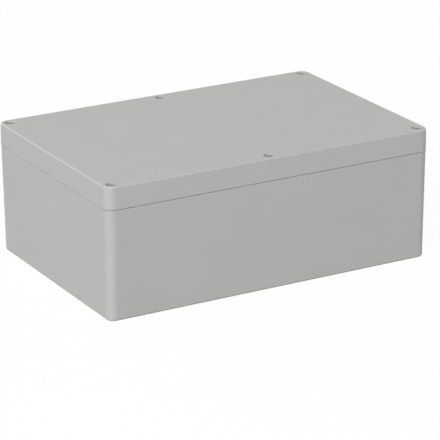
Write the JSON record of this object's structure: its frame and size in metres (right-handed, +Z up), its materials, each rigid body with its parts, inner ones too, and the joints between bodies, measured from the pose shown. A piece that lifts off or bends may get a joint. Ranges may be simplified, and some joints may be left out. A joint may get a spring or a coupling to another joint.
{
  "type": "plastic enclosure",
  "caption": "Light grey rectangular plastic enclosure with a screwed, gasketed flat lid, corner mounting wells and board pillars, for housing electronics.",
  "frame": {"origin": "middle of the underside, on the surface that the box stands on", "axes": "+X along the long sides to the right, +Y towards the back long side, +Z up through the lid"},
  "size_m": [0.24, 0.16, 0.09],
  "materials": {
    "body": "fine matt moulded",
    "gasket": "soft matt",
    "screw": "satin",
    "bush": "turned"
  },
  "bodies": {
    "base": {"base": "body", "threaded_bush_front_left": "bush", "threaded_bush_front_middle": "bush", "threaded_bush_front_right": "bush", "threaded_bush_back_left": "bush", "threaded_bush_back_middle": "bush", "threaded_bush_back_right": "bush"},
    "lid": {"lid": "body", "lid_gasket": "gasket"},
    "screw_front_left": {"lid_screw_front_left": "screw"},
    "screw_front_middle": {"lid_screw_front_middle": "screw"},
    "screw_front_right": {"lid_screw_front_right": "screw"},
    "screw_back_left": {"lid_screw_back_left": "screw"},
    "screw_back_middle": {"lid_screw_back_middle": "screw"},
    "screw_back_right": {"lid_screw_back_right": "screw"}
  },
  "joints": [
    {"name": "lid_lift", "type": "slide", "parent": "base", "child": "lid", "axis": [0, 0, 1], "range_m": [0, 0.15]},
    {"name": "screw_front_left_out", "type": "slide", "parent": "lid", "child": "screw_front_left", "axis": [0, 0, 1], "range_m": [0, 0.01]},
    {"name": "screw_front_middle_out", "type": "slide", "parent": "lid", "child": "screw_front_middle", "axis": [0, 0, 1], "range_m": [0, 0.01]},
    {"name": "screw_front_right_out", "type": "slide", "parent": "lid", "child": "screw_front_right", "axis": [0, 0, 1], "range_m": [0, 0.01]},
    {"name": "screw_back_left_out", "type": "slide", "parent": "lid", "child": "screw_back_left", "axis": [0, 0, 1], "range_m": [0, 0.01]},
    {"name": "screw_back_middle_out", "type": "slide", "parent": "lid", "child": "screw_back_middle", "axis": [0, 0, 1], "range_m": [0, 0.01]},
    {"name": "screw_back_right_out", "type": "slide", "parent": "lid", "child": "screw_back_right", "axis": [0, 0, 1], "range_m": [0, 0.01]}
  ]
}
